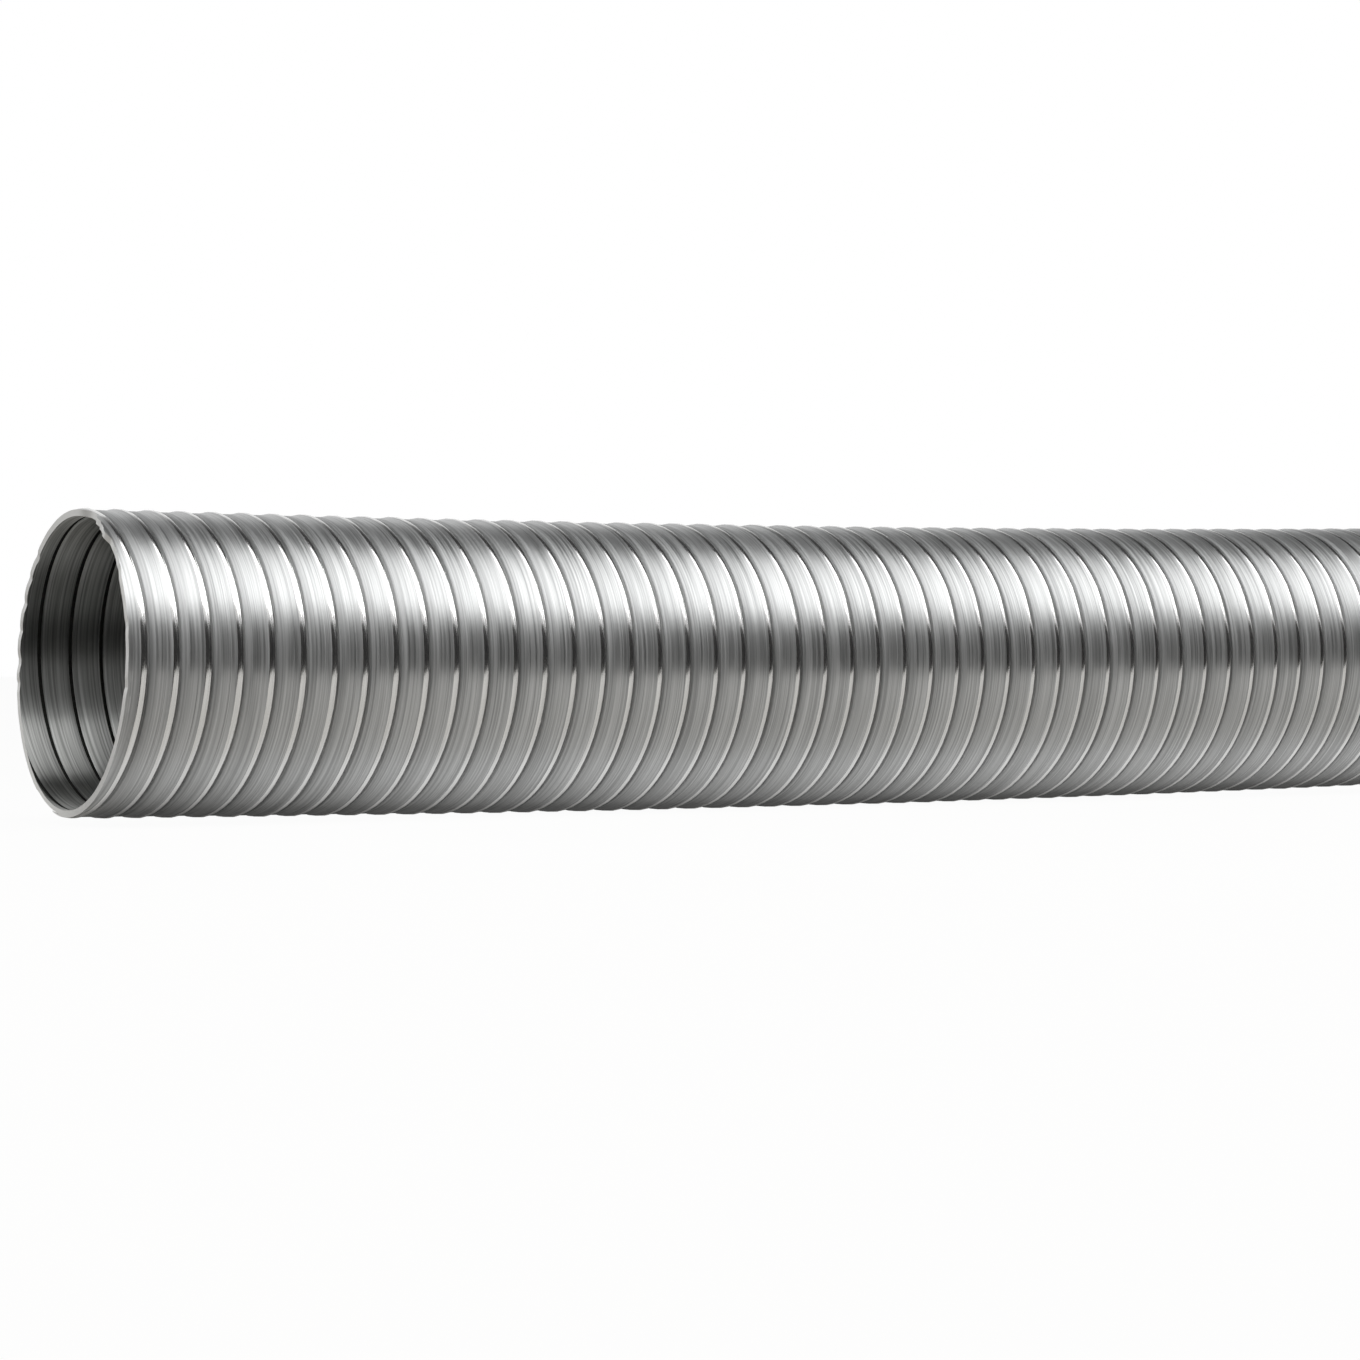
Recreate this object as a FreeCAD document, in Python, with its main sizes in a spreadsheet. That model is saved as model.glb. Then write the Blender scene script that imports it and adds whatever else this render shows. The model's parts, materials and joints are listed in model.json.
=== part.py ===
import FreeCAD
import Part
import Sketcher
import os

# Flexible aluminium duct, nominal size 100, cut to length and lying on its side.
#
# One narrow strip of thin aluminium is wound left-handed into a tube, and each turn's edge is
# folded over the edge of the turn before it. The folds stand out as a row of raised edges, one
# to each pitch, with the next band starting a step lower behind each of them. The inside is the
# bore that slips over a round spigot.
#
# The axis lies along X. The open mouth is at -X, +Z is up and the lowest line is at z = 0, where
# the duct's own weight has pressed a narrow flat on its folds. All sizes are in millimetres.

SIZES = [
    ("bore_diameter", 101.0, "clear inside width, a slip fit over a 100 spigot"),
    ("wall_depth", 3.0, "from the bore out to the top of a fold"),
    ("duct_length", 600.0, "cut length"),
    ("strip_pitch", 12.0, "advance of the strip in one turn"),
    ("step_width", 1.6, "from the top of a fold along to the foot of its step"),
    ("step_depth", 1.3, "from the top of a fold down to the foot of its step"),
    ("first_fold", 8.7, "from the mouth to the first fold, along the top of the duct"),
    ("flat_depth", 0.25, "how far the folds are pressed flat where the duct rests"),
]

CROWN = "(sizes.bore_diameter / 2 + sizes.wall_depth)"
TURNS_BEFORE_MOUTH = 2
SPARE_TURNS = 4
PAST_FOLD = 0.3
POINT = {"start": 1, "end": 2, "centre": 3}
SKETCH_ORIGIN = (-1, POINT["start"])


def size_sheet(document):
    """The sheet of driving sizes, one row to a size: what it is, its value and a note."""
    sheet = document.addObject("Spreadsheet::Sheet", "sizes")
    for row, (name, value, note) in enumerate(SIZES, start=1):
        sheet.set(f"A{row}", name)
        sheet.set(f"B{row}", str(value))
        sheet.setAlias(f"B{row}", name)
        sheet.set(f"C{row}", note)
    document.recompute()
    return sheet


def origin_plane(body, role):
    """The plane of the body's own origin that has this role."""
    for item in body.Origin.OriginFeatures:
        if item.Role == role:
            return item
    raise ValueError(f"{body.Label} has no {role}")


def new_sketch(body, name, role):
    """An empty sketch on one of the body's origin planes."""
    sketch = body.newObject("Sketcher::SketchObject", name)
    sketch.AttachmentSupport = [(origin_plane(body, role), "")]
    sketch.MapMode = "FlatFace"
    return sketch


def dimension(sketch, name, kind, places, value, text):
    """Adds a dimension between these places, names it and binds it to the sheet."""
    index = sketch.addConstraint(Sketcher.Constraint(kind, *places, value))
    sketch.renameConstraint(index, name)
    sketch.setExpression(f"Constraints.{name}", text)


def closed_outline(sketch, corners):
    """Straight lines from corner to corner and back to the first, joined at their ends."""
    lines = []
    for corner, following in zip(corners, corners[1:] + corners[:1]):
        lines.append(sketch.addGeometry(Part.LineSegment(corner, following)))
    for line, following in zip(lines, lines[1:] + lines[:1]):
        end = (line, POINT["end"])
        start = (following, POINT["start"])
        sketch.addConstraint(Sketcher.Constraint("Coincident", *end, *start))
    return lines


def stock_tube(body, sheet):
    """The plain tube that the bands are formed in, from the bore out to the tops of the folds."""
    bore = sheet.bore_diameter / 2
    rings = [
        ("bore_radius", bore, "sizes.bore_diameter / 2"),
        ("crown_radius", bore + sheet.wall_depth, CROWN),
    ]
    sketch = new_sketch(body, "section", "YZ_Plane")
    centre = FreeCAD.Vector(0, 0, 0)
    along = FreeCAD.Vector(0, 0, 1)
    for name, radius, text in rings:
        ring = sketch.addGeometry(Part.Circle(centre, along, radius))
        centre_point = (ring, POINT["centre"])
        sketch.addConstraint(Sketcher.Constraint("Coincident", *centre_point, *SKETCH_ORIGIN))
        dimension(sketch, name, "Radius", (ring,), radius, text)

    tube = body.newObject("PartDesign::Pad", "stock_tube")
    tube.Profile = sketch
    tube.Midplane = True
    tube.setExpression("Length", "sizes.duct_length")
    return tube


def band_turns(body, sheet, name, turn):
    """Forms every second turn of the strip's outside, the first of them on the given turn.

    The profile is one band seen from the side: the steep step behind a fold, the foot of the
    step, and the long shallow rise to the next fold. Both slopes run on a little past the folds.
    It goes once round the axis, left-handed, and is repeated two pitches apart, because
    neighbours cross in the top of the fold between them.
    """
    turns_along = turn - TURNS_BEFORE_MOUTH
    crown = sheet.bore_diameter / 2 + sheet.wall_depth
    fold = sheet.first_fold - sheet.duct_length / 2 + turns_along * sheet.strip_pitch
    foot = fold + sheet.step_width
    step_top = fold - PAST_FOLD * sheet.step_width
    rise_top = fold + sheet.strip_pitch + PAST_FOLD * (sheet.strip_pitch - sheet.step_width)
    top_radius = crown + PAST_FOLD * sheet.step_depth
    foot_radius = crown - sheet.step_depth
    corners = [
        FreeCAD.Vector(step_top, top_radius, 0),
        FreeCAD.Vector(rise_top, top_radius, 0),
        FreeCAD.Vector(foot, foot_radius, 0),
    ]
    sketch = new_sketch(body, f"{name}_band", "XZ_Plane")
    top, rise, step = closed_outline(sketch, corners)
    sketch.addConstraint(Sketcher.Constraint("Horizontal", top))

    fold_text = (
        f"(sizes.first_fold - sizes.duct_length / 2 + ({turns_along}) * sizes.strip_pitch)"
    )
    rise_text = "(sizes.strip_pitch - sizes.step_width)"
    step_top_text = f"{fold_text} - {PAST_FOLD} * sizes.step_width"
    rise_top_text = f"{fold_text} + sizes.strip_pitch + {PAST_FOLD} * {rise_text}"
    foot_text = f"{fold_text} + sizes.step_width"
    top_radius_text = f"{CROWN} + {PAST_FOLD} * sizes.step_depth"
    foot_radius_text = f"{CROWN} - sizes.step_depth"
    at_step_top = (*SKETCH_ORIGIN, top, POINT["start"])
    at_rise_top = (*SKETCH_ORIGIN, rise, POINT["start"])
    at_foot = (*SKETCH_ORIGIN, step, POINT["start"])
    dimension(sketch, "step_top", "DistanceX", at_step_top, step_top, step_top_text)
    dimension(sketch, "rise_top", "DistanceX", at_rise_top, rise_top, rise_top_text)
    dimension(sketch, "foot", "DistanceX", at_foot, foot, foot_text)
    dimension(sketch, "top_radius", "DistanceY", at_step_top, top_radius, top_radius_text)
    dimension(sketch, "foot_radius", "DistanceY", at_foot, foot_radius, foot_radius_text)

    one_turn = body.newObject("PartDesign::SubtractiveHelix", f"{name}_turn")
    one_turn.Profile = sketch
    one_turn.ReferenceAxis = (sketch, ["H_Axis"])
    one_turn.Mode = "pitch-height-angle"
    one_turn.LeftHanded = True
    one_turn.setExpression("Pitch", "sizes.strip_pitch")
    one_turn.setExpression("Height", "sizes.strip_pitch")
    body.Document.recompute()

    turns = body.newObject("PartDesign::LinearPattern", f"{name}_turns")
    turns.Originals = [one_turn]
    turns.Direction = (sketch, ["H_Axis"])
    pairs_text = f"ceil((sizes.duct_length / sizes.strip_pitch + {SPARE_TURNS}) / 2)"
    turns.setExpression("Occurrences", pairs_text)
    turns.setExpression("Length", f"2 * sizes.strip_pitch * ({pairs_text} - 1)")
    body.Tip = turns
    return turns


def resting_flat(body, sheet):
    """The narrow flat along the underside, where the duct's weight has pressed its folds."""
    crown = sheet.bore_diameter / 2 + sheet.wall_depth
    flat = crown - sheet.flat_depth
    below = crown + sheet.step_depth
    corners = [
        FreeCAD.Vector(-crown, -flat, 0),
        FreeCAD.Vector(-crown, -below, 0),
        FreeCAD.Vector(crown, -below, 0),
        FreeCAD.Vector(crown, -flat, 0),
    ]
    sketch = new_sketch(body, "floor_side", "YZ_Plane")
    left, under, right, resting = closed_outline(sketch, corners)
    for line in (left, right):
        sketch.addConstraint(Sketcher.Constraint("Vertical", line))
    for line in (under, resting):
        sketch.addConstraint(Sketcher.Constraint("Horizontal", line))
    to_left = (left, POINT["start"], *SKETCH_ORIGIN)
    to_right = (*SKETCH_ORIGIN, right, POINT["start"])
    to_below = (under, POINT["start"], *SKETCH_ORIGIN)
    dimension(sketch, "left_side", "DistanceX", to_left, crown, CROWN)
    dimension(sketch, "right_side", "DistanceX", to_right, crown, CROWN)
    dimension(sketch, "flat", "DistanceY", to_left, flat, f"{CROWN} - sizes.flat_depth")
    dimension(sketch, "below", "DistanceY", to_below, below, f"{CROWN} + sizes.step_depth")

    flat_cut = body.newObject("PartDesign::Pocket", "resting_flat")
    flat_cut.Profile = sketch
    flat_cut.Type = "ThroughAll"
    flat_cut.Midplane = True
    return flat_cut


def rests_flat(shape):
    """Whether the shape has flat faces square to Z, the pressed tops of its folds."""
    flats = [face for face in shape.Faces if isinstance(face.Surface, Part.Plane)]
    return any(abs(face.Surface.Axis.z) > abs(face.Surface.Axis.x) for face in flats)


def wound_duct(document, sheet):
    """The whole duct, which is one strip wound and folded into itself."""
    body = document.addObject("PartDesign::Body", "duct")
    body.Label = "duct"
    shaped = stock_tube(body, sheet)
    document.recompute()
    for turn, name in enumerate(("even", "odd")):
        before = shaped.Shape.Volume
        shaped = band_turns(body, sheet, name, turn)
        document.recompute()
        if not shaped.Shape.Volume < before:
            raise RuntimeError(f"{shaped.Label} takes nothing away")
    shaped = resting_flat(body, sheet)
    document.recompute()
    if not rests_flat(shaped.Shape):
        raise RuntimeError(f"{shaped.Label} leaves no flat")
    body.setExpression("Placement.Base.z", f"{CROWN} - sizes.flat_depth")
    return body


def check(document, pieces):
    """Stops if anything in the document failed, or a piece isn't one sound solid."""
    for item in document.Objects:
        if "Invalid" in item.State or "Error" in item.State:
            raise RuntimeError(f"{item.Label}: {item.State}")
    for piece in pieces:
        shape = piece.Shape
        if shape.isNull() or not shape.isValid() or len(shape.Solids) != 1:
            raise RuntimeError(f"{piece.Label} isn't one valid solid")


os.makedirs("parts", exist_ok=True)
document = FreeCAD.newDocument("flexible_duct")
sheet = size_sheet(document)
pieces = [wound_duct(document, sheet)]
document.recompute()
check(document, pieces)
for piece in pieces:
    piece.Shape.exportStep(f"parts/{piece.Label}.step")
    print(piece.Label, piece.Shape.BoundBox, f"{piece.Shape.Volume:.0f} mm3")
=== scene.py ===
import json
import math

import bmesh
import bpy
from mathutils import Matrix, Vector, noise


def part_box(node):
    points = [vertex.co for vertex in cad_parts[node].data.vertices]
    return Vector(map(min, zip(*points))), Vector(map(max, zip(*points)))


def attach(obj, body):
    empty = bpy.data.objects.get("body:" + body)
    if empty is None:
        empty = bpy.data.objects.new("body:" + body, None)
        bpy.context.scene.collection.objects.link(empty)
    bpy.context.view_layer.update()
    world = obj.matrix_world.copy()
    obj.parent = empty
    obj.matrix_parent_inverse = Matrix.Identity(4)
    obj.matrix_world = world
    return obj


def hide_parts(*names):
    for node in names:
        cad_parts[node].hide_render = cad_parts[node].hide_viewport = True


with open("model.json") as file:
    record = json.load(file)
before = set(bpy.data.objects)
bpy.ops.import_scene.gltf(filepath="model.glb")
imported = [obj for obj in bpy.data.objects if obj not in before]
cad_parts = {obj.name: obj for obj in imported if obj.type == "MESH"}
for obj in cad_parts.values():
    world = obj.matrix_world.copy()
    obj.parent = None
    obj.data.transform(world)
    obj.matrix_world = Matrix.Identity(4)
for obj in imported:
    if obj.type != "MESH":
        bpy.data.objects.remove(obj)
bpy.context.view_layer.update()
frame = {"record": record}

# The duct. One strip of soft aluminium, about 29 mm wide, is wound left-handed and folded over the
# edge of the turn before. That leaves a flat band, a raised bead and a narrow groove to every pitch
# outside, and flat bands with a wider gap inside. The tube was cut to length by hand.
MM = 0.001
mouth_mount = next(m for m in frame["record"]["mounts"] if m["name"] == "mouth_bore")
duct_low, duct_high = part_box("duct")
BORE_RADIUS = mouth_mount["dims"]["r_mm"]
AXIS_HEIGHT = mouth_mount["pos_m"][2] / MM
MOUTH = duct_low.x / MM
FAR_END = duct_high.x / MM
WALL_DEPTH = (duct_high.y - duct_low.y) / 2 / MM - BORE_RADIUS

PITCH = 12.0
FIRST_FOLD = 8.7

# The outside across one pitch, from the corner of one groove to the next. Each point is how far it
# lies along the axis and how far out from the bore, in millimetres. The bead is the fold, which
# rises softly from the band, and the groove behind it runs in a little under it.
GROOVE_FLOOR = 0.95
HOOK_HEIGHT = 1.35
HOOK_FROM_BEAD = 0.9
BAND_HEIGHT = 2.35
CREASE_AT = 6.2
CREASE_RISE = 0.07
FOOT_AT = 7.5
BEAD_START = 8.55
BEAD_END = 10.12
BEAD_CORNER = 0.35
FOLD_TOP_AT = 9.8
outside = [
    (0.0, GROOVE_FLOOR),
    (0.1, 1.9),
    (0.35, 2.2),
    (0.8, BAND_HEIGHT),
    (CREASE_AT, BAND_HEIGHT),
    (CREASE_AT + 0.1, BAND_HEIGHT + CREASE_RISE),
    (FOOT_AT, BAND_HEIGHT + CREASE_RISE),
    (BEAD_START - 0.4, WALL_DEPTH - 0.38),
    (BEAD_START, WALL_DEPTH - 0.18),
    (BEAD_START + 0.5, WALL_DEPTH),
]
for degrees in (10, 40, 70):
    turn = math.radians(degrees)
    along = BEAD_END - BEAD_CORNER + BEAD_CORNER * math.sin(turn)
    outside.append((along, WALL_DEPTH - BEAD_CORNER + BEAD_CORNER * math.cos(turn)))
outside += [
    (BEAD_END, HOOK_HEIGHT + 0.25),
    (BEAD_END - 0.3, HOOK_HEIGHT),
    (BEAD_START + HOOK_FROM_BEAD, HOOK_HEIGHT),
    (BEAD_START + HOOK_FROM_BEAD, GROOVE_FLOOR),
    (PITCH, GROOVE_FLOOR),
]

# The inside across one pitch, from the narrow gap of one fold to the next, with both edges of the
# gap rolled over softly and the fold hollow behind it.
GAP_FROM = 0.5
GAP_WIDTH = 1.4
GAP_HEIGHT = 0.8
HOLLOW_WIDTH = 1.9
HOLLOW_TOP = 1.4
SHOULDER = [(0.15, 0.4), (0.9, 0.1)]
inside = [
    (GAP_FROM, GAP_HEIGHT),
    (GAP_FROM + 0.05, HOLLOW_TOP),
    (GAP_FROM + HOLLOW_WIDTH, HOLLOW_TOP),
    (GAP_FROM + HOLLOW_WIDTH, GAP_HEIGHT + 0.1),
    (GAP_FROM + GAP_WIDTH, GAP_HEIGHT),
]
inside += [(GAP_FROM + GAP_WIDTH + along, out) for along, out in SHOULDER]
inside += [(PITCH + GAP_FROM - along, out) for along, out in SHOULDER[::-1]]
inside += [(PITCH + GAP_FROM, GAP_HEIGHT)]

STEPS_A_TURN = 64


def one_turn_of(skins, start):
    """One turn of the strip, wound left-handed by spinning the skins' outlines along the axis."""
    turn = bmesh.new()
    layers = {name: turn.verts.layers.float.new(name) for name in ("across", "offset", "out")}
    side = turn.verts.layers.int.new("side")
    for number, skin in enumerate(skins):
        across = 0.0
        before = None
        for offset, out in skin:
            vert = turn.verts.new((start + offset, 0.0, BORE_RADIUS + out))
            if before:
                across += (vert.co - before.co).length
                turn.edges.new((before, vert))
            vert[layers["across"]] = across
            vert[layers["offset"]] = offset
            vert[layers["out"]] = out
            vert[side] = number
            before = vert
    bmesh.ops.spin(
        turn,
        geom=list(turn.verts) + list(turn.edges),
        cent=(0, 0, 0),
        axis=(1, 0, 0),
        dvec=(PITCH / STEPS_A_TURN, 0, 0),
        angle=-math.tau,
        steps=STEPS_A_TURN,
        use_merge=False,
        use_duplicate=False,
    )
    data = bpy.data.meshes.new("one_turn")
    turn.to_mesh(data)
    turn.free()
    return data


duct_mesh = bmesh.new()
strip_start = MOUTH + FIRST_FOLD - FOLD_TOP_AT - PITCH
one_turn = one_turn_of((outside, inside), strip_start)
for _ in range(math.ceil((FAR_END - strip_start) / PITCH) + 1):
    duct_mesh.from_mesh(one_turn)
    one_turn.transform(Matrix.Translation((PITCH, 0, 0)))
bpy.data.meshes.remove(one_turn)
across_layer = duct_mesh.verts.layers.float["across"]
offset_layer = duct_mesh.verts.layers.float["offset"]
out_layer = duct_mesh.verts.layers.float["out"]
side_layer = duct_mesh.verts.layers.int["side"]

# The strip's own coordinates, for its finish: across the strip and along it, in metres. The slots
# are in the order of the materials, and new faces are in the first, the rolled strip.
BURNISHED, INSIDE, HOLLOW, SAWN = range(1, 5)
HOLLOW_FROM = 0.85
OUTER_SKIN = 0
WELD = 0.001
strip_uv = duct_mesh.loops.layers.uv.new("strip")
for face in duct_mesh.faces:
    face.smooth = True
    for loop in face.loops:
        vert = loop.vert
        turns = (vert.co.x - vert[offset_layer] - strip_start) / PITCH
        along = turns * math.tau * (BORE_RADIUS + WALL_DEPTH)
        loop[strip_uv].uv = (vert[across_layer] * MM, along * MM)
    middle = sum(vert[offset_layer] for vert in face.verts) / len(face.verts)
    # Inner faces deep in a fold get the hollow finish, which is painted shade.
    if face.verts[0][side_layer] != OUTER_SKIN:
        deepest = max(vert[out_layer] for vert in face.verts)
        face.material_index = HOLLOW if deepest > HOLLOW_FROM else INSIDE
    elif middle > BEAD_START:
        face.material_index = BURNISHED
bmesh.ops.remove_doubles(duct_mesh, verts=duct_mesh.verts, dist=WELD)


def set_height(vert, out):
    """Moves the vertex to this height above the bore, straight out from the axis."""
    spread = (BORE_RADIUS + out) / math.hypot(vert.co.y, vert.co.z)
    vert.co.y *= spread
    vert.co.z *= spread


# Finer along the winding near the mouth, where the cut edge is ragged. Where two turns were joined
# a vertex may have kept either turn's offset, a pitch apart, so both count as the same.
FINE_REACH = 20.0
FINE_CUTS = 2
windings = []
for edge in duct_mesh.edges:
    first, last = edge.verts
    apart = abs(first[offset_layer] - last[offset_layer])
    apart = min(apart, abs(apart - PITCH))
    along_winding = apart < WELD and abs(first[out_layer] - last[out_layer]) < WELD
    if along_winding and min(first.co.x, last.co.x) < MOUTH + FINE_REACH:
        windings.append(edge)
bmesh.ops.subdivide_edges(duct_mesh, edges=windings, cuts=FINE_CUTS, use_grid_fill=True)
for vert in duct_mesh.verts:
    set_height(vert, vert[out_layer])

# The mouth was cut by hand a little out of square, so its near and lower side stand out. Each tear
# gives its place round the mouth in degrees, how far it is torn back and how wide it is. Places go
# from the top towards the near side.
CUT_BACK = 3.6
OUT_AT_NEAR_SIDE = 3.55
OUT_AT_BOTTOM = 2.05
BURR = 0.10
BURR_SCALE = 9
TEARS = [(13, 2.2, 7), (18, 0.5, 1.6), (24, 0.8, 2), (29, 0.5, 1.6), (33, -0.5, 3), (38, 0.5, 2),
         (44, 1.0, 8), (53, 0.4, 2), (76, 0.3, 2), (99, 0.35, 2), (262, 0.5, 2), (271, 0.9, 3),
         (283, 0.5, 1.8), (294, 0.7, 2.2), (305, 0.45, 1.6), (316, 0.6, 2)]


def cut_edge(place):
    """How far the cut stands out from the mouth's square face at this place round it."""
    angle = math.atan2(-place.y, place.z)
    slant = OUT_AT_NEAR_SIDE * math.sin(angle) - OUT_AT_BOTTOM * math.cos(angle) - CUT_BACK
    round_mouth = Vector((BURR_SCALE * math.cos(angle), BURR_SCALE * math.sin(angle), 0.5))
    burr = BURR * noise.noise(round_mouth)
    torn = 0.0
    for degrees, depth, width in TEARS:
        apart = math.degrees(angle) - degrees
        apart = (apart + 180) % 360 - 180
        torn += depth * math.exp(-((apart / width) ** 2))
    return slant + burr - torn


ON_THE_CUT = 0.0001


def cut_end(mesh, plane, direction):
    """Cuts the strip square to the axis and closes the cut."""
    geometry = list(mesh.verts) + list(mesh.edges) + list(mesh.faces)
    cut = bmesh.ops.bisect_plane(
        mesh,
        geom=geometry,
        dist=ON_THE_CUT,
        plane_co=(plane, 0, 0),
        plane_no=(direction, 0, 0),
        clear_outer=True,
    )
    edges = [item for item in cut["geom_cut"] if isinstance(item, bmesh.types.BMEdge)]
    filled = bmesh.ops.triangle_fill(mesh, edges=edges, normal=(direction, 0, 0), use_beauty=True)
    for item in filled["geom"]:
        if isinstance(item, bmesh.types.BMFace):
            item.material_index = SAWN


# Close to the cut the folds are pinched shut, and right at it the bead and the groove outside are
# pressed nearly flat.
PINCHED_WITHIN = 6.0
PINCHED_TO = 0.2
PRESSED_WITHIN = 3.0
PRESSED_KEEPS = 0.3
for vert in duct_mesh.verts:
    vert.co.x += cut_edge(vert.co)
    back = max(vert.co.x - MOUTH, 0.0)
    out = vert[out_layer]
    if vert[side_layer] == OUTER_SKIN:
        kept = PRESSED_KEEPS + (1 - PRESSED_KEEPS) * min(back / PRESSED_WITHIN, 1.0)
        out = BAND_HEIGHT + (out - BAND_HEIGHT) * kept
    elif out > PINCHED_TO:
        out = PINCHED_TO + (out - PINCHED_TO) * min(back / PINCHED_WITHIN, 1.0)
    set_height(vert, out)
cut_end(duct_mesh, MOUTH, -1)
for vert in duct_mesh.verts:
    vert.co.x -= cut_edge(vert.co)
cut_end(duct_mesh, FAR_END, 1)
bmesh.ops.recalc_face_normals(duct_mesh, faces=duct_mesh.faces)
SHARP = math.radians(28)
for edge in duct_mesh.edges:
    edge.smooth = edge.calc_face_angle(math.pi) < SHARP

# Pressed flat where it rests, uneven from rolling and handling, and bowed with both ends up. The
# unevenness is a depth and the length that it varies over, twice.
UNEVEN = ((0.12, 24.0), (0.05, 7.0))
BOW_RISE = 2.52
for vert in duct_mesh.verts:
    radial = Vector((0, vert.co.y, vert.co.z)).normalized()
    pressed = sum(depth * (noise.noise(vert.co / size) - 0.5) for depth, size in UNEVEN)
    vert.co += radial * pressed
    vert.co.z = max(vert.co.z + AXIS_HEIGHT, 0.0)
    vert.co.z += BOW_RISE * (vert.co.x / FAR_END) ** 2
bmesh.ops.scale(duct_mesh, vec=(MM, MM, MM), verts=duct_mesh.verts)

duct_data = bpy.data.meshes.new("wound_strip")
duct_mesh.to_mesh(duct_data)
duct_mesh.free()
duct = bpy.data.objects.new("wound_strip", duct_data)
bpy.context.collection.objects.link(duct)


def linear(hex_colour):
    """An sRGB hex colour as linear values with an alpha of 1."""
    channels = [int(hex_colour[i:i + 2], 16) / 255 for i in (1, 3, 5)]
    values = [c / 12.92 if c <= 0.04045 else ((c + 0.055) / 1.055) ** 2.4 for c in channels]
    return (*values, 1.0)


def add_node(tree, kind, settings=None, inputs=None):
    """Adds a node to the tree, sets its properties and fills its inputs with values or links."""
    node = tree.nodes.new(kind)
    for name, value in (settings or {}).items():
        setattr(node, name, value)
    for socket, value in (inputs or {}).items():
        if isinstance(value, bpy.types.NodeSocket):
            tree.links.new(value, node.inputs[socket])
        else:
            node.inputs[socket].default_value = value
    return node


def new_material(name):
    """An empty node material with its output node."""
    material = bpy.data.materials.new(name)
    material.use_nodes = True
    material.node_tree.nodes.clear()
    output = add_node(material.node_tree, "ShaderNodeOutputMaterial")
    return material, material.node_tree, output


# Mill-finish aluminium strip, cold rolled. The rolls leave fine lines along the strip, which blur a
# reflection across the strip and keep it sharp round the tube. The first few millimetres behind each
# groove are scuffed by the folding roller and duller.
ROLL_LINE = 0.7 * MM
ROLL_RUN = 90 * MM
SCUFFED_TO = 4.0 * MM
SCUFF_EDGE = 0.4 * MM
SCUFF_ROUGHNESS = 0.14


def rolled_strip():
    material, tree, output = new_material("mill_finish_aluminium")
    uv = add_node(tree, "ShaderNodeUVMap", {"uv_map": "strip"})
    stretch = (1 / ROLL_LINE, 1 / ROLL_RUN, 1)
    placed = add_node(tree, "ShaderNodeMapping", {}, {"Vector": uv.outputs[0], "Scale": stretch})
    lines = add_node(tree, "ShaderNodeTexNoise", {"noise_dimensions": "2D"},
                     {"Vector": placed.outputs[0], "Scale": 1.0, "Detail": 3.0})
    colour = add_node(tree, "ShaderNodeValToRGB", {}, {"Fac": lines.outputs["Fac"]})
    colour.color_ramp.elements[0].position = 0.3
    colour.color_ramp.elements[0].color = linear("#939494")
    colour.color_ramp.elements[1].position = 0.7
    colour.color_ramp.elements[1].color = linear("#C4C5C5")
    fine = add_node(tree, "ShaderNodeMapRange", {},
                    {"Value": lines.outputs["Fac"], "From Min": 0.3, "From Max": 0.7,
                     "To Min": 0.34, "To Max": 0.51})
    parts = add_node(tree, "ShaderNodeSeparateXYZ", {}, {"Vector": uv.outputs[0]})
    scuffed = add_node(tree, "ShaderNodeMapRange", {}, {
        "Value": parts.outputs["X"], "From Min": SCUFFED_TO - SCUFF_EDGE, "From Max": SCUFFED_TO,
        "To Min": SCUFF_ROUGHNESS, "To Max": 0.0})
    rough = add_node(tree, "ShaderNodeMath", {"operation": "ADD"},
                     {0: fine.outputs["Result"], 1: scuffed.outputs["Result"]})
    bump = add_node(tree, "ShaderNodeBump", {},
                    {"Height": lines.outputs["Fac"], "Strength": 0.4, "Distance": 0.015 * MM})
    tangent = add_node(tree, "ShaderNodeTangent", {"direction_type": "UV_MAP", "uv_map": "strip"})
    shader = add_node(tree, "ShaderNodeBsdfPrincipled", {}, {
        "Base Color": colour.outputs["Color"],
        "Metallic": 0.86,
        "Roughness": rough.outputs[0],
        "Anisotropic": 0.85,
        "Tangent": tangent.outputs[0],
        "Normal": bump.outputs[0],
    })
    tree.links.new(shader.outputs[0], output.inputs["Surface"])
    return material


# The same strip where the folding roller has pressed and polished it. It mirrors more sharply, so the
# beads turn black in the dark streak and white right below it.
BURNISH_PATCH = 30 * MM


def burnished_bead():
    material, tree, output = new_material("roller_burnished_aluminium")
    uv = add_node(tree, "ShaderNodeUVMap", {"uv_map": "strip"})
    stretch = (1 / ROLL_LINE, 1 / BURNISH_PATCH, 1)
    placed = add_node(tree, "ShaderNodeMapping", {}, {"Vector": uv.outputs[0], "Scale": stretch})
    patches = add_node(tree, "ShaderNodeTexNoise", {"noise_dimensions": "2D"},
                       {"Vector": placed.outputs[0], "Scale": 1.0, "Detail": 2.0})
    colour = add_node(tree, "ShaderNodeValToRGB", {}, {"Fac": patches.outputs["Fac"]})
    colour.color_ramp.elements[0].position = 0.3
    colour.color_ramp.elements[0].color = linear("#CFCFCE")
    colour.color_ramp.elements[1].position = 0.7
    colour.color_ramp.elements[1].color = linear("#DEDEDD")
    rough = add_node(tree, "ShaderNodeMapRange", {},
                     {"Value": patches.outputs["Fac"], "To Min": 0.12, "To Max": 0.2})
    shader = add_node(tree, "ShaderNodeBsdfPrincipled", {}, {
        "Base Color": colour.outputs["Color"],
        "Metallic": 1.0,
        "Roughness": rough.outputs["Result"],
    })
    tree.links.new(shader.outputs[0], output.inputs["Surface"])
    return material


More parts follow.
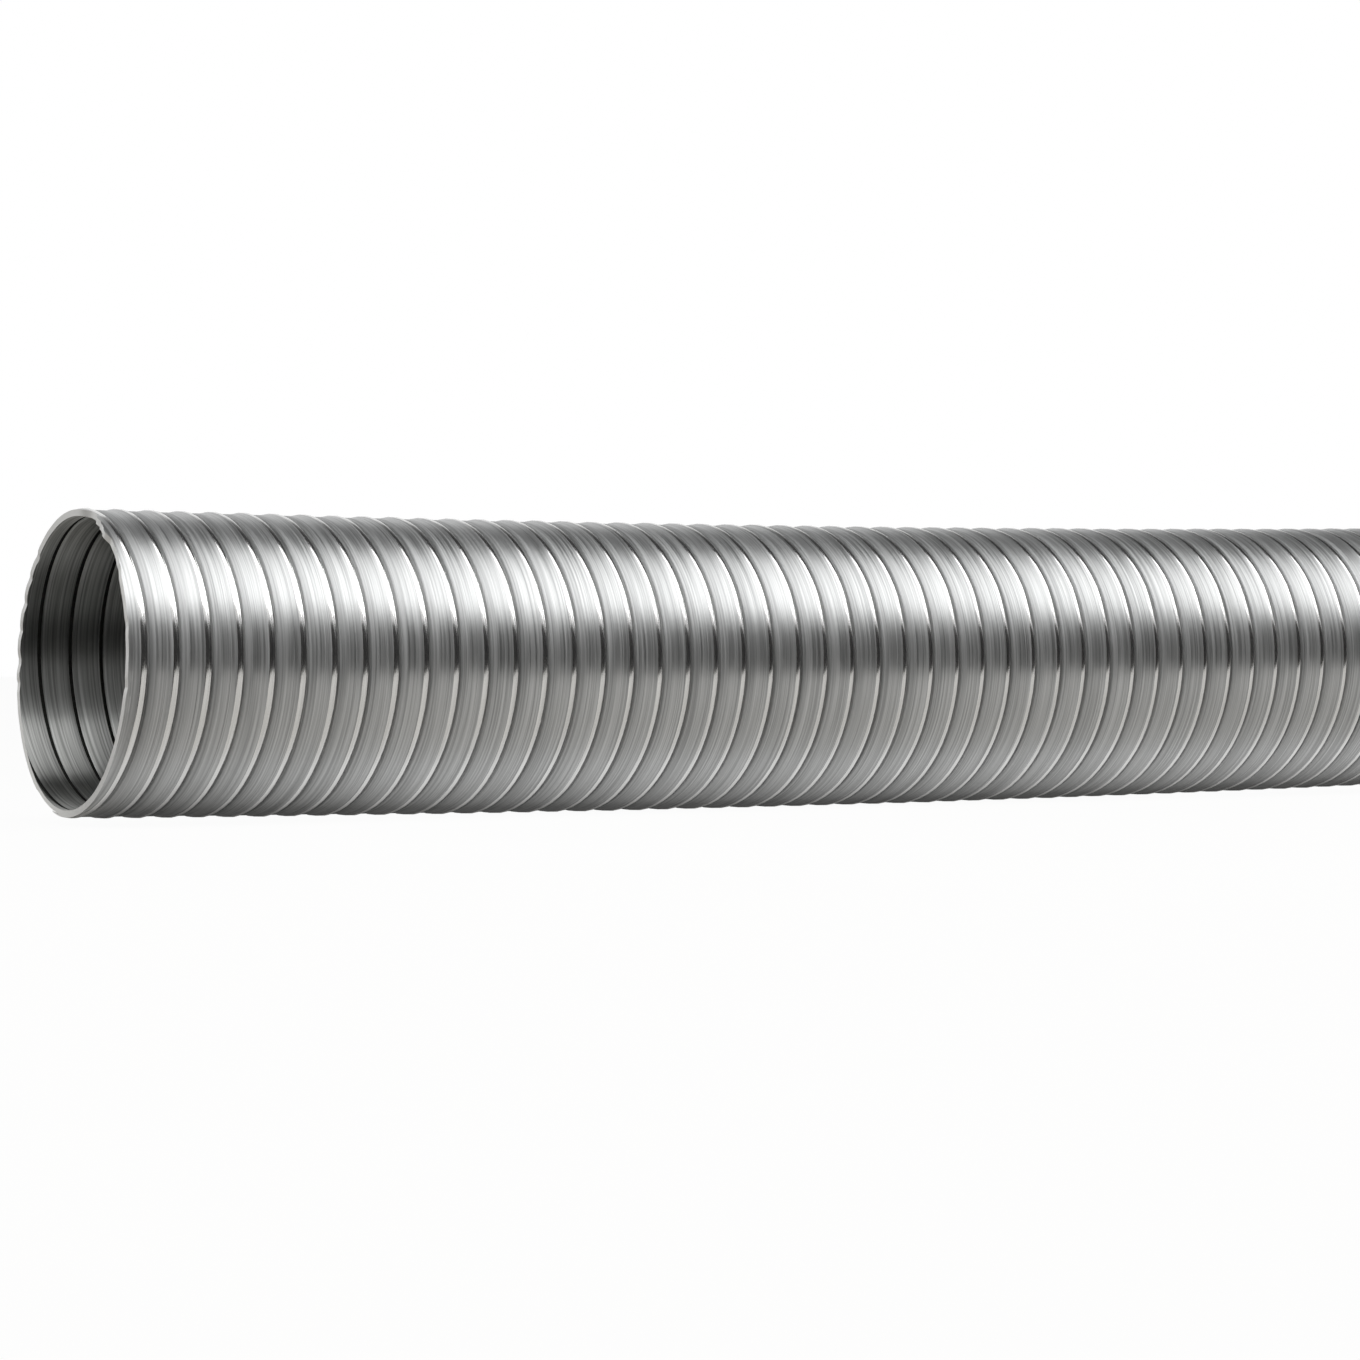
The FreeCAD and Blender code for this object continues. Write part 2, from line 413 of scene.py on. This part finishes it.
# The strip's inner face, which no roller has touched since it was rolled. It is duller, so the inside
# shows soft streaks along the winding and no clear reflection.
INSIDE_LINE = 0.8 * MM


def inner_face():
    material, tree, output = new_material("dull_rolled_aluminium")
    uv = add_node(tree, "ShaderNodeUVMap", {"uv_map": "strip"})
    stretch = (1 / INSIDE_LINE, 1 / ROLL_RUN, 1)
    placed = add_node(tree, "ShaderNodeMapping", {}, {"Vector": uv.outputs[0], "Scale": stretch})
    lines = add_node(tree, "ShaderNodeTexNoise", {"noise_dimensions": "2D"},
                     {"Vector": placed.outputs[0], "Scale": 1.0, "Detail": 3.0})
    colour = add_node(tree, "ShaderNodeValToRGB", {}, {"Fac": lines.outputs["Fac"]})
    colour.color_ramp.elements[0].position = 0.35
    colour.color_ramp.elements[0].color = linear("#939492")
    colour.color_ramp.elements[1].position = 0.65
    colour.color_ramp.elements[1].color = linear("#C4C5C3")
    bump = add_node(tree, "ShaderNodeBump", {},
                    {"Height": lines.outputs["Fac"], "Strength": 0.5, "Distance": 0.03 * MM})
    tangent = add_node(tree, "ShaderNodeTangent", {"direction_type": "UV_MAP", "uv_map": "strip"})
    shader = add_node(tree, "ShaderNodeBsdfPrincipled", {}, {
        "Base Color": colour.outputs["Color"],
        "Metallic": 1.0,
        "Roughness": 0.48,
        "Anisotropic": 1.0,
        "Tangent": tangent.outputs[0],
        "Normal": bump.outputs[0],
    })
    tree.links.new(shader.outputs[0], output.inputs["Surface"])
    return material


# Inside the folds the strip is painted dark, a painted shade for the shadow deep in each fold, so each
# gap shows as a black line. The grain only mottles that painted shade.
FOLD_SHADE_GRAIN = 0.8 * MM


def folded_hollow():
    material, tree, output = new_material("fold_painted_shade")
    coordinates = add_node(tree, "ShaderNodeTexCoord")
    shade_mottle = add_node(tree, "ShaderNodeTexNoise", {},
                    {"Vector": coordinates.outputs["Object"], "Scale": 1 / FOLD_SHADE_GRAIN, "Detail": 2.0})
    colour = add_node(tree, "ShaderNodeValToRGB", {}, {"Fac": shade_mottle.outputs["Fac"]})
    colour.color_ramp.elements[0].color = linear("#333331")
    colour.color_ramp.elements[1].color = linear("#5A5A57")
    shader = add_node(tree, "ShaderNodeBsdfPrincipled", {}, {
        "Base Color": colour.outputs["Color"],
        "Metallic": 1.0,
        "Roughness": 0.5,
    })
    tree.links.new(shader.outputs[0], output.inputs["Surface"])
    return material


# Bare metal at the cut, bright and grained by the blade, which draws a pale line round the mouth.
BLADE_GRAIN = 0.8 * MM


def sawn_edge():
    material, tree, output = new_material("sawn_aluminium_edge")
    coordinates = add_node(tree, "ShaderNodeTexCoord")
    grain = add_node(tree, "ShaderNodeTexNoise", {},
                     {"Vector": coordinates.outputs["Object"], "Scale": 1 / BLADE_GRAIN, "Detail": 2.0})
    rough = add_node(tree, "ShaderNodeMapRange", {},
                     {"Value": grain.outputs["Fac"], "To Min": 0.32, "To Max": 0.5})
    shader = add_node(tree, "ShaderNodeBsdfPrincipled", {}, {
        "Base Color": linear("#D2D2D0"),
        "Metallic": 1.0,
        "Roughness": rough.outputs["Result"],
    })
    tree.links.new(shader.outputs[0], output.inputs["Surface"])
    return material


for finish in (rolled_strip, burnished_bead, inner_face, folded_hollow, sawn_edge):
    duct_data.materials.append(finish())
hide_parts("duct")
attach(duct, "root")

# The camera looks along the duct from beside its mouth, level with its axis and from far off,
# so that the duct runs out of the right of the picture.
CAMERA_PLACE = (-0.9286, -1.3651, 0.0530)
CAMERA_TURN = (89.831, 0.364, -32.827)
camera_data = bpy.data.cameras.new("camera")
camera_data.sensor_width = 36.0
camera_data.lens = 115.06
camera = bpy.data.objects.new("camera", camera_data)
camera.location = CAMERA_PLACE
camera.rotation_euler = [math.radians(degrees) for degrees in CAMERA_TURN]
bpy.context.collection.objects.link(camera)
bpy.context.scene.camera = camera

# The floor is plain pale board and reaches the horizon behind the duct. The camera sees it white, with
# the duct's shadow. In the metal it shows a painted glow instead: a painted shadow under the duct, a
# painted bright strip beside it and painted dimming towards the mouth. Each pair in
# MIRRORED_PAINTED_LEVELS is a distance from the duct's line in metres and the painted brightness there.
FLOOR_REACH = 40.0
SHARE_SEEN = 0.96
MIRRORED_PAINTED_LEVELS = [(0.0, 0.1), (0.012, 0.15), (0.022, 0.5), (0.034, 0.85), (0.043, 0.85),
                 (0.056, 0.44), (0.075, 0.25), (0.11, 0.25), (0.2, 0.34)]
DIM_FROM, DIM_TO = -0.18, -0.5
DIM_SHARE = 0.2
floor_mesh = bmesh.new()
bmesh.ops.create_grid(floor_mesh, x_segments=1, y_segments=1, size=FLOOR_REACH)
floor_data = bpy.data.meshes.new("floor")
floor_mesh.to_mesh(floor_data)
floor_mesh.free()
floor = bpy.data.objects.new("floor", floor_data)
bpy.context.collection.objects.link(floor)

floor_material, floor_tree, floor_output = new_material("matt_board")
floor_shader = add_node(floor_tree, "ShaderNodeBsdfPrincipled", {}, {
    "Base Color": linear("#B8B5B0"),
    "Roughness": 0.8,
    "Specular IOR Level": 0.2,
})
# Painted reflection: glossy and transmission rays see the floor glow at a level set by place, a painted
# shadow under the duct and a painted bright strip beside it.
path = add_node(floor_tree, "ShaderNodeLightPath")
mirrored = add_node(floor_tree, "ShaderNodeMath", {"operation": "MAXIMUM"},
                    {0: path.outputs["Is Glossy Ray"], 1: path.outputs["Is Transmission Ray"]})
floor_place = add_node(floor_tree, "ShaderNodeTexCoord")
floor_parts = add_node(floor_tree, "ShaderNodeSeparateXYZ", {}, {"Vector": floor_place.outputs["Object"]})
from_line = add_node(floor_tree, "ShaderNodeMath", {"operation": "ABSOLUTE"},
                     {0: floor_parts.outputs["Y"]})
bright = add_node(floor_tree, "ShaderNodeValToRGB", {}, {"Fac": from_line.outputs[0]})
bright.color_ramp.elements.remove(bright.color_ramp.elements[1])
bright.color_ramp.elements[0].color = (*(MIRRORED_PAINTED_LEVELS[0][1],) * 3, 1)
for place, level in MIRRORED_PAINTED_LEVELS[1:]:
    bright.color_ramp.elements.new(place).color = (level, level, level, 1)
dimmer = add_node(floor_tree, "ShaderNodeMapRange", {}, {
    "Value": floor_parts.outputs["X"], "From Min": DIM_TO, "From Max": DIM_FROM,
    "To Min": DIM_SHARE, "To Max": 1.0})
level_there = add_node(floor_tree, "ShaderNodeMath", {"operation": "MULTIPLY"},
                       {0: dimmer.outputs["Result"], 1: bright.outputs["Color"]})
partly = add_node(floor_tree, "ShaderNodeMath", {"operation": "MULTIPLY"},
                  {0: mirrored.outputs[0], 1: level_there.outputs[0]})
share = add_node(floor_tree, "ShaderNodeMath", {"operation": "MULTIPLY_ADD"},
                 {0: path.outputs["Is Camera Ray"], 1: SHARE_SEEN, 2: partly.outputs[0]})
white = add_node(floor_tree, "ShaderNodeEmission", {}, {"Color": linear("#FFFFFF")})
mixed = add_node(floor_tree, "ShaderNodeMixShader", {},
                 {"Fac": share.outputs[0], 1: floor_shader.outputs[0], 2: white.outputs[0]})
floor_tree.links.new(mixed.outputs[0], floor_output.inputs["Surface"])
floor_data.materials.append(floor_material)

# The room, from the camera's side to behind the duct: light, dark overhead and then white. Each pair
# in ROOM is a share of the way across and the shade there.
ROOM = [(0.17, "#F0F0F0"), (0.4, "#888888"), (0.55, "#424242"), (0.68, "#363636"),
        (0.785, "#7A7A7A"), (0.866, "#FFFFFF")]
world = bpy.data.worlds.new("studio")
world.use_nodes = True
world.node_tree.nodes.clear()
sky = world.node_tree
bpy.context.scene.world = world
direction = add_node(sky, "ShaderNodeTexCoord")
parts = add_node(sky, "ShaderNodeSeparateXYZ", {}, {"Vector": direction.outputs["Generated"]})
behind = add_node(sky, "ShaderNodeMapRange", {}, {"Value": parts.outputs["Y"], "From Min": -1.0})
room = add_node(sky, "ShaderNodeValToRGB", {}, {"Fac": behind.outputs["Result"]})
room.color_ramp.elements.remove(room.color_ramp.elements[1])
room.color_ramp.elements[0].position = ROOM[0][0]
room.color_ramp.elements[0].color = linear(ROOM[0][1])
for place, shade in ROOM[1:]:
    room.color_ramp.elements.new(place).color = linear(shade)
background = add_node(sky, "ShaderNodeBackground", {}, {"Color": room.outputs["Color"]})
add_node(sky, "ShaderNodeOutputWorld", {}, {"Surface": background.outputs[0]})

# One large soft box overhead, in front of the duct and along all of it.
BOX_PLACE = (-0.8, -0.475, 1.2)
BOX_TURN = -11.0
BOX_LENGTH = 4.6
BOX_WIDTH = 1.29
BOX_RADIANCE = 2.35
box_data = bpy.data.lights.new("soft_box", "AREA")
box_data.shape = "RECTANGLE"
box_data.size = BOX_LENGTH
box_data.size_y = BOX_WIDTH
box_data.energy = BOX_RADIANCE * BOX_LENGTH * BOX_WIDTH * math.pi
box = bpy.data.objects.new("soft_box", box_data)
box.location = BOX_PLACE
box.rotation_euler.z = math.radians(BOX_TURN)
box.visible_camera = False
bpy.context.collection.objects.link(box)

# A black card stands on the camera's side, low and long, and gives the metal its dark streak. Another
# lies on the floor beside the mouth and keeps the inside dark. The camera sees neither of them.
CARD_LEFT, CARD_RIGHT = -0.6, 2.5
CARD_HEIGHT = 0.42
CARD_AT = -0.62
LOW_CARD = ((-1.2, -0.9), (-0.31, 0.03))
LOW_CARD_HEIGHT = 0.001
card_mesh = bmesh.new()
bmesh.ops.create_grid(card_mesh, x_segments=1, y_segments=1, size=0.5)
for vert in card_mesh.verts:
    across = CARD_LEFT + (vert.co.x + 0.5) * (CARD_RIGHT - CARD_LEFT)
    vert.co = (across, CARD_AT, (vert.co.y + 0.5) * CARD_HEIGHT)
(left, front), (right, back) = LOW_CARD
corners = [(left, front), (right, front), (right, back), (left, back)]
card_mesh.faces.new([card_mesh.verts.new((x, y, LOW_CARD_HEIGHT)) for x, y in corners])
card_data = bpy.data.meshes.new("black_card")
card_mesh.to_mesh(card_data)
card_mesh.free()
card = bpy.data.objects.new("black_card", card_data)
card.visible_camera = False
card.visible_diffuse = False
card.visible_shadow = False
bpy.context.collection.objects.link(card)
card_material, card_tree, card_output = new_material("black_card")
card_shader = add_node(card_tree, "ShaderNodeBsdfPrincipled", {}, {
    "Base Color": linear("#1C1C1C"),
    "Roughness": 0.9,
})
card_tree.links.new(card_shader.outputs[0], card_output.inputs["Surface"])
card_data.materials.append(card_material)

bpy.context.scene.view_settings.view_transform = "Standard"
